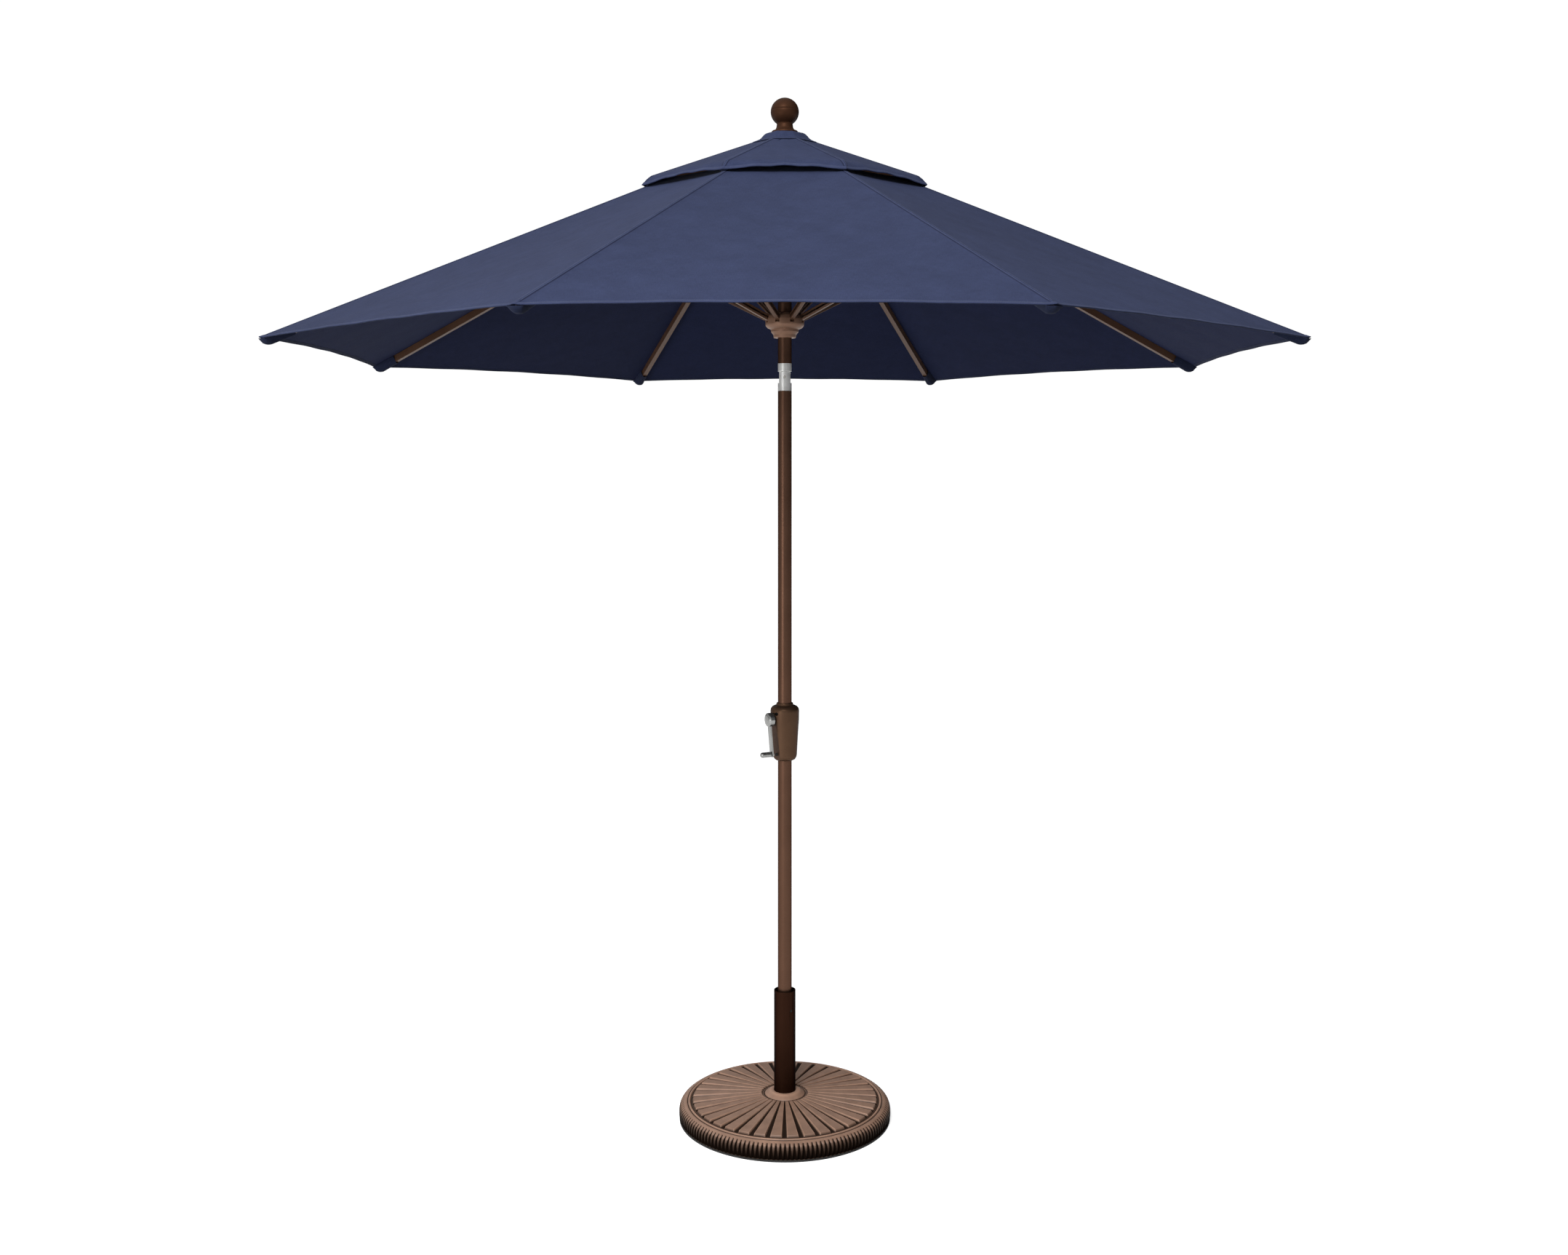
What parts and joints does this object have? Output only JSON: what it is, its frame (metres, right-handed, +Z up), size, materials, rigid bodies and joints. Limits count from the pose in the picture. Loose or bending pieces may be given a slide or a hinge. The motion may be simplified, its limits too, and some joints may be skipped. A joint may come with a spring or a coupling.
{
  "type": "patio umbrella",
  "caption": "Round market umbrella with a vented octagonal cloth cover on a central mast, with crank lift, tilt joint and ribbed round base.",
  "frame": {"origin": "on the ground at the mast axis", "axes": "+Z up along the mast, -Y towards the side with the housing screws, the crank on the -X side; the cover tilts towards +X"},
  "size_m": [2.348, 2.348, 2.594],
  "materials": {
    "cast_base": "painted antique bronze, satin",
    "stem_paint": "dark bronze powder coat",
    "rubber": "matt",
    "black_plastic": "matt",
    "zinc_steel": "zinc plated",
    "mast_paint": "bronze powder coat, satin",
    "rib_paint": "bronze powder coat, satin",
    "bronze_cast": "bronze powder coat, satin",
    "bronze_plastic": "moulded, semi-gloss",
    "spigot_metal": "mill finish",
    "black_screw": "black oxide",
    "bright_metal": "polished",
    "crank_metal": "polished",
    "cord": "braided polyester cord",
    "canopy_cloth": "woven polyester, navy"
  },
  "bodies": {
    "base": {"base_plate": "cast_base", "base_foot_ring": "rubber", "base_stem": "stem_paint", "stem_screws": "zinc_steel", "stem_sleeve": "black_plastic"},
    "clamp": {"clamp_knob": "black_plastic"},
    "mast": {"lower_pole": "mast_paint", "pole_spigot": "spigot_metal"},
    "upper_mast": {"upper_pole": "mast_paint", "crank_housing_front": "bronze_plastic", "crank_housing_rear": "bronze_plastic", "housing_screws": "black_screw", "lift_cord_lower": "cord", "tilt_fork": "bright_metal", "tilt_pin": "zinc_steel"},
    "crank": {"crank_spool": "crank_metal", "crank_arm": "crank_metal"},
    "grip": {"crank_grip": "crank_metal"},
    "top": {"tilt_tongue": "bright_metal", "top_pole": "mast_paint", "lift_cord_upper": "cord", "hub": "bronze_cast", "hub_pins": "zinc_steel", "crown_cloth": "canopy_cloth", "finial": "mast_paint"},
    "pulley": {"pulley": "black_plastic"},
    "runner": {"runner": "bronze_cast", "runner_pins": "zinc_steel"},
    "rib_1": {"rib_1": "rib_paint"},
    "strut_1": {"strut_1": "rib_paint"},
    "cover_1_left": {"cover_1_left": "canopy_cloth"},
    "cover_1_right": {"cover_1_right": "canopy_cloth"},
    "rib_2": {"rib_2": "rib_paint"},
    "strut_2": {"strut_2": "rib_paint"},
    "cover_2_left": {"cover_2_left": "canopy_cloth"},
    "cover_2_right": {"cover_2_right": "canopy_cloth"},
    "rib_3": {"rib_3": "rib_paint"},
    "strut_3": {"strut_3": "rib_paint"},
    "cover_3_left": {"cover_3_left": "canopy_cloth"},
    "cover_3_right": {"cover_3_right": "canopy_cloth"},
    "rib_4": {"rib_4": "rib_paint"},
    "strut_4": {"strut_4": "rib_paint"},
    "cover_4_left": {"cover_4_left": "canopy_cloth"},
    "cover_4_right": {"cover_4_right": "canopy_cloth"},
    "rib_5": {"rib_5": "rib_paint"},
    "strut_5": {"strut_5": "rib_paint"},
    "cover_5_left": {"cover_5_left": "canopy_cloth"},
    "cover_5_right": {"cover_5_right": "canopy_cloth"},
    "rib_6": {"rib_6": "rib_paint"},
    "strut_6": {"strut_6": "rib_paint"},
    "cover_6_left": {"cover_6_left": "canopy_cloth"},
    "cover_6_right": {"cover_6_right": "canopy_cloth"},
    "rib_7": {"rib_7": "rib_paint"},
    "strut_7": {"strut_7": "rib_paint"},
    "cover_7_left": {"cover_7_left": "canopy_cloth"},
    "cover_7_right": {"cover_7_right": "canopy_cloth"},
    "rib_8": {"rib_8": "rib_paint"},
    "strut_8": {"strut_8": "rib_paint"},
    "cover_8_left": {"cover_8_left": "canopy_cloth"},
    "cover_8_right": {"cover_8_right": "canopy_cloth"}
  },
  "joints": [
    {"name": "clamp_knob_turn", "type": "hinge", "parent": "base", "child": "clamp", "pos_m": [0, 0, 0.27], "axis": [0, 1, 0], "range_deg": [0, 720]},
    {"name": "mast_swivel", "type": "hinge", "parent": "base", "child": "mast", "pos_m": [0, 0, 0.5], "axis": [0, 0, 1], "range_deg": [-180, 180]},
    {"name": "mast_lift", "type": "slide", "parent": "mast", "child": "upper_mast", "axis": [0, 0, 1], "range_m": [0, 0.07]},
    {"name": "canopy_tilt", "type": "hinge", "parent": "upper_mast", "child": "top", "pos_m": [0, 0, 1.882], "axis": [0, 1, 0], "range_deg": [0, 30]},
    {"name": "crank_turn", "type": "hinge", "parent": "upper_mast", "child": "crank", "pos_m": [0, 0, 1.012], "axis": [-0.891, -0.454, 0], "range_deg": [-3100, 20]},
    {"name": "grip_spin", "type": "hinge", "parent": "crank", "child": "grip", "pos_m": [-0.05346, -0.02724, 0.924], "axis": [-0.891, -0.454, 0], "continuous": true},
    {"name": "pulley_turn", "type": "hinge", "parent": "top", "child": "pulley", "pos_m": [0, 0.012, 2.44], "axis": [1, 0, 0], "range_deg": [-3800, 20]},
    {"name": "rib_1_fold", "type": "hinge", "parent": "top", "child": "rib_1", "pos_m": [0.03511, 0.01454, 2.476], "axis": [0.3827, -0.9239, 0], "range_deg": [-62.8, 0]},
    {"name": "strut_1_turn", "type": "hinge", "parent": "rib_1", "child": "strut_1", "pos_m": [0.46084, 0.19088, 2.25211], "axis": [0.3827, -0.9239, 0], "range_deg": [-1, 126.6]},
    {"name": "runner_travel", "type": "hinge", "parent": "strut_1", "child": "runner", "pos_m": [0.03511, 0.01454, 2.02822], "axis": [0.3827, -0.9239, 0], "range_deg": [-63.3, 0.5]},
    {"name": "cover_1_left_fold", "type": "hinge", "parent": "rib_1", "child": "cover_1_left", "pos_m": [0.55161, 0.20831, 2.2392], "axis": [-0.8447, -0.3499, 0.4051], "range_deg": [-1, 76], "deforming": ["cover_1_left"]},
    {"name": "cover_1_right_fold", "type": "hinge", "parent": "rib_1", "child": "cover_1_right", "pos_m": [0.53734, 0.24275, 2.2392], "axis": [0.8447, 0.3499, -0.4051], "range_deg": [-1, 76], "deforming": ["cover_1_right"]},
    {"name": "rib_2_fold", "type": "hinge", "parent": "top", "child": "rib_2", "pos_m": [0.01454, 0.03511, 2.476], "axis": [0.9239, -0.3827, 0], "range_deg": [-63.3, 0.5]},
    {"name": "strut_2_turn", "type": "hinge", "parent": "rib_2", "child": "strut_2", "pos_m": [0.19088, 0.46084, 2.25211], "axis": [0.9239, -0.3827, 0], "range_deg": [-1, 126.6]},
    {"name": "cover_2_left_fold", "type": "hinge", "parent": "rib_2", "child": "cover_2_left", "pos_m": [0.24275, 0.53734, 2.2392], "axis": [-0.3499, -0.8447, 0.4051], "range_deg": [-1, 76], "deforming": ["cover_2_left"]},
    {"name": "cover_2_right_fold", "type": "hinge", "parent": "rib_2", "child": "cover_2_right", "pos_m": [0.20831, 0.55161, 2.2392], "axis": [0.3499, 0.8447, -0.4051], "range_deg": [-1, 76], "deforming": ["cover_2_right"]},
    {"name": "rib_3_fold", "type": "hinge", "parent": "top", "child": "rib_3", "pos_m": [-0.01454, 0.03511, 2.476], "axis": [0.9239, 0.3827, 0], "range_deg": [-63.3, 0.5]},
    {"name": "strut_3_turn", "type": "hinge", "parent": "rib_3", "child": "strut_3", "pos_m": [-0.19088, 0.46084, 2.25211], "axis": [0.9239, 0.3827, 0], "range_deg": [-1, 126.6]},
    {"name": "cover_3_left_fold", "type": "hinge", "parent": "rib_3", "child": "cover_3_left", "pos_m": [-0.20831, 0.55161, 2.2392], "axis": [0.3499, -0.8447, 0.4051], "range_deg": [-1, 76], "deforming": ["cover_3_left"]},
    {"name": "cover_3_right_fold", "type": "hinge", "parent": "rib_3", "child": "cover_3_right", "pos_m": [-0.24275, 0.53734, 2.2392], "axis": [-0.3499, 0.8447, -0.4051], "range_deg": [-1, 76], "deforming": ["cover_3_right"]},
    {"name": "rib_4_fold", "type": "hinge", "parent": "top", "child": "rib_4", "pos_m": [-0.03511, 0.01454, 2.476], "axis": [0.3827, 0.9239, 0], "range_deg": [-63.3, 0.5]},
    {"name": "strut_4_turn", "type": "hinge", "parent": "rib_4", "child": "strut_4", "pos_m": [-0.46084, 0.19088, 2.25211], "axis": [0.3827, 0.9239, 0], "range_deg": [-1, 126.6]},
    {"name": "cover_4_left_fold", "type": "hinge", "parent": "rib_4", "child": "cover_4_left", "pos_m": [-0.53734, 0.24275, 2.2392], "axis": [0.8447, -0.3499, 0.4051], "range_deg": [-1, 76], "deforming": ["cover_4_left"]},
    {"name": "cover_4_right_fold", "type": "hinge", "parent": "rib_4", "child": "cover_4_right", "pos_m": [-0.55161, 0.20831, 2.2392], "axis": [-0.8447, 0.3499, -0.4051], "range_deg": [-1, 76], "deforming": ["cover_4_right"]},
    {"name": "rib_5_fold", "type": "hinge", "parent": "top", "child": "rib_5", "pos_m": [-0.03511, -0.01454, 2.476], "axis": [-0.3827, 0.9239, 0], "range_deg": [-63.3, 0.5]},
    {"name": "strut_5_turn", "type": "hinge", "parent": "rib_5", "child": "strut_5", "pos_m": [-0.46084, -0.19088, 2.25211], "axis": [-0.3827, 0.9239, 0], "range_deg": [-1, 126.6]},
    {"name": "cover_5_left_fold", "type": "hinge", "parent": "rib_5", "child": "cover_5_left", "pos_m": [-0.55161, -0.20831, 2.2392], "axis": [0.8447, 0.3499, 0.4051], "range_deg": [-1, 76], "deforming": ["cover_5_left"]},
    {"name": "cover_5_right_fold", "type": "hinge", "parent": "rib_5", "child": "cover_5_right", "pos_m": [-0.53734, -0.24275, 2.2392], "axis": [-0.8447, -0.3499, -0.4051], "range_deg": [-1, 76], "deforming": ["cover_5_right"]},
    {"name": "rib_6_fold", "type": "hinge", "parent": "top", "child": "rib_6", "pos_m": [-0.01454, -0.03511, 2.476], "axis": [-0.9239, 0.3827, 0], "range_deg": [-63.3, 0.5]},
    {"name": "strut_6_turn", "type": "hinge", "parent": "rib_6", "child": "strut_6", "pos_m": [-0.19088, -0.46084, 2.25211], "axis": [-0.9239, 0.3827, 0], "range_deg": [-1, 126.6]},
    {"name": "cover_6_left_fold", "type": "hinge", "parent": "rib_6", "child": "cover_6_left", "pos_m": [-0.24275, -0.53734, 2.2392], "axis": [0.3499, 0.8447, 0.4051], "range_deg": [-1, 76], "deforming": ["cover_6_left"]},
    {"name": "cover_6_right_fold", "type": "hinge", "parent": "rib_6", "child": "cover_6_right", "pos_m": [-0.20831, -0.55161, 2.2392], "axis": [-0.3499, -0.8447, -0.4051], "range_deg": [-1, 76], "deforming": ["cover_6_right"]},
    {"name": "rib_7_fold", "type": "hinge", "parent": "top", "child": "rib_7", "pos_m": [0.01454, -0.03511, 2.476], "axis": [-0.9239, -0.3827, 0], "range_deg": [-63.3, 0.5]},
    {"name": "strut_7_turn", "type": "hinge", "parent": "rib_7", "child": "strut_7", "pos_m": [0.19088, -0.46084, 2.25211], "axis": [-0.9239, -0.3827, 0], "range_deg": [-1, 126.6]},
    {"name": "cover_7_left_fold", "type": "hinge", "parent": "rib_7", "child": "cover_7_left", "pos_m": [0.20831, -0.55161, 2.2392], "axis": [-0.3499, 0.8447, 0.4051], "range_deg": [-1, 76], "deforming": ["cover_7_left"]},
    {"name": "cover_7_right_fold", "type": "hinge", "parent": "rib_7", "child": "cover_7_right", "pos_m": [0.24275, -0.53734, 2.2392], "axis": [0.3499, -0.8447, -0.4051], "range_deg": [-1, 76], "deforming": ["cover_7_right"]},
    {"name": "rib_8_fold", "type": "hinge", "parent": "top", "child": "rib_8", "pos_m": [0.03511, -0.01454, 2.476], "axis": [-0.3827, -0.9239, 0], "range_deg": [-63.3, 0.5]},
    {"name": "strut_8_turn", "type": "hinge", "parent": "rib_8", "child": "strut_8", "pos_m": [0.46084, -0.19088, 2.25211], "axis": [-0.3827, -0.9239, 0], "range_deg": [-1, 126.6]},
    {"name": "cover_8_left_fold", "type": "hinge", "parent": "rib_8", "child": "cover_8_left", "pos_m": [0.53734, -0.24275, 2.2392], "axis": [-0.8447, 0.3499, 0.4051], "range_deg": [-1, 76], "deforming": ["cover_8_left"]},
    {"name": "cover_8_right_fold", "type": "hinge", "parent": "rib_8", "child": "cover_8_right", "pos_m": [0.55161, -0.20831, 2.2392], "axis": [0.8447, -0.3499, -0.4051], "range_deg": [-1, 76], "deforming": ["cover_8_right"]}
  ],
  "couplings": [
    {"joint": "crank_turn", "follows": "rib_1_fold", "ratio": 48},
    {"joint": "pulley_turn", "follows": "rib_1_fold", "ratio": 58.5},
    {"joint": "strut_1_turn", "follows": "rib_1_fold", "ratio": -2},
    {"joint": "runner_travel", "follows": "rib_1_fold", "ratio": 1},
    {"joint": "cover_1_left_fold", "follows": "rib_1_fold", "ratio": -1.092},
    {"joint": "cover_1_right_fold", "follows": "rib_1_fold", "ratio": -1.092},
    {"joint": "rib_2_fold", "follows": "rib_1_fold", "ratio": 1},
    {"joint": "strut_2_turn", "follows": "rib_1_fold", "ratio": -2},
    {"joint": "cover_2_left_fold", "follows": "rib_1_fold", "ratio": -1.092},
    {"joint": "cover_2_right_fold", "follows": "rib_1_fold", "ratio": -1.092},
    {"joint": "rib_3_fold", "follows": "rib_1_fold", "ratio": 1},
    {"joint": "strut_3_turn", "follows": "rib_1_fold", "ratio": -2},
    {"joint": "cover_3_left_fold", "follows": "rib_1_fold", "ratio": -1.092},
    {"joint": "cover_3_right_fold", "follows": "rib_1_fold", "ratio": -1.092},
    {"joint": "rib_4_fold", "follows": "rib_1_fold", "ratio": 1},
    {"joint": "strut_4_turn", "follows": "rib_1_fold", "ratio": -2},
    {"joint": "cover_4_left_fold", "follows": "rib_1_fold", "ratio": -1.092},
    {"joint": "cover_4_right_fold", "follows": "rib_1_fold", "ratio": -1.092},
    {"joint": "rib_5_fold", "follows": "rib_1_fold", "ratio": 1},
    {"joint": "strut_5_turn", "follows": "rib_1_fold", "ratio": -2},
    {"joint": "cover_5_left_fold", "follows": "rib_1_fold", "ratio": -1.092},
    {"joint": "cover_5_right_fold", "follows": "rib_1_fold", "ratio": -1.092},
    {"joint": "rib_6_fold", "follows": "rib_1_fold", "ratio": 1},
    {"joint": "strut_6_turn", "follows": "rib_1_fold", "ratio": -2},
    {"joint": "cover_6_left_fold", "follows": "rib_1_fold", "ratio": -1.092},
    {"joint": "cover_6_right_fold", "follows": "rib_1_fold", "ratio": -1.092},
    {"joint": "rib_7_fold", "follows": "rib_1_fold", "ratio": 1},
    {"joint": "strut_7_turn", "follows": "rib_1_fold", "ratio": -2},
    {"joint": "cover_7_left_fold", "follows": "rib_1_fold", "ratio": -1.092},
    {"joint": "cover_7_right_fold", "follows": "rib_1_fold", "ratio": -1.092},
    {"joint": "rib_8_fold", "follows": "rib_1_fold", "ratio": 1},
    {"joint": "strut_8_turn", "follows": "rib_1_fold", "ratio": -2},
    {"joint": "cover_8_left_fold", "follows": "rib_1_fold", "ratio": -1.092},
    {"joint": "cover_8_right_fold", "follows": "rib_1_fold", "ratio": -1.092}
  ]
}
